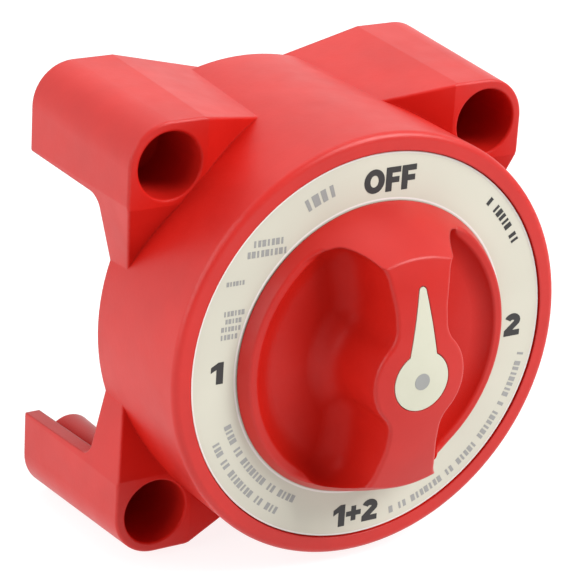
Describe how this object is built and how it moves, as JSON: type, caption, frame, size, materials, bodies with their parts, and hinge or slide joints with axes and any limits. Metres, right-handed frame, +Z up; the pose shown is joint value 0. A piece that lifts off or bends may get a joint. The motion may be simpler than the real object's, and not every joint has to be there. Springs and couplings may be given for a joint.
{
  "type": "battery selector switch",
  "caption": "Surface-mounted marine battery selector switch: a round knob turns a contact to connect one battery, the other, both or neither to a common terminal.",
  "frame": {"origin": "centre of the mounting holes in the mounting plane, on the knob's spindle axis", "axes": "+X to the right, +Z up to the OFF position, and the dial faces -Y, so +Y leaves through the back"},
  "size_m": [0.133, 0.1055, 0.133],
  "materials": {
    "red_case": "moulded, soft sheen",
    "red_knob": "moulded, slightly glossy",
    "label_print": "printed film, matt",
    "pointer": "moulded, satin",
    "black_moulding": "glass-filled, matt",
    "white_nylon": "satin",
    "seal_rubber": "matt",
    "copper": "tinned or bare copper",
    "brass": "machined",
    "steel": "stainless"
  },
  "bodies": {
    "switch_body": {"housing": "red_case", "dial_label": "label_print", "base_plate": "black_moulding", "base_gasket": "seal_rubber", "base_screws": "steel", "common_contact": "copper", "fixed_contact_1": "copper", "fixed_contact_2": "copper", "common_stud": "copper", "terminal_stud_1": "copper", "terminal_stud_2": "copper", "flat_washers": "steel", "lock_washers": "steel", "terminal_nuts": "steel", "detent_springs": "steel"},
    "rotor": {"knob": "red_knob", "pointer_insert": "pointer", "knob_screw": "steel", "knob_washer": "steel", "drive_shaft": "brass", "shaft_o_ring": "seal_rubber", "thrust_washer": "white_nylon", "contact_carrier": "black_moulding", "moving_contact": "copper", "contact_springs": "steel"}
  },
  "joints": [
    {"name": "knob_turn", "type": "hinge", "parent": "switch_body", "child": "rotor", "pos_m": [0, 0, 0], "axis": [0, -1, 0], "continuous": true, "deforming": ["detent_springs"]}
  ]
}
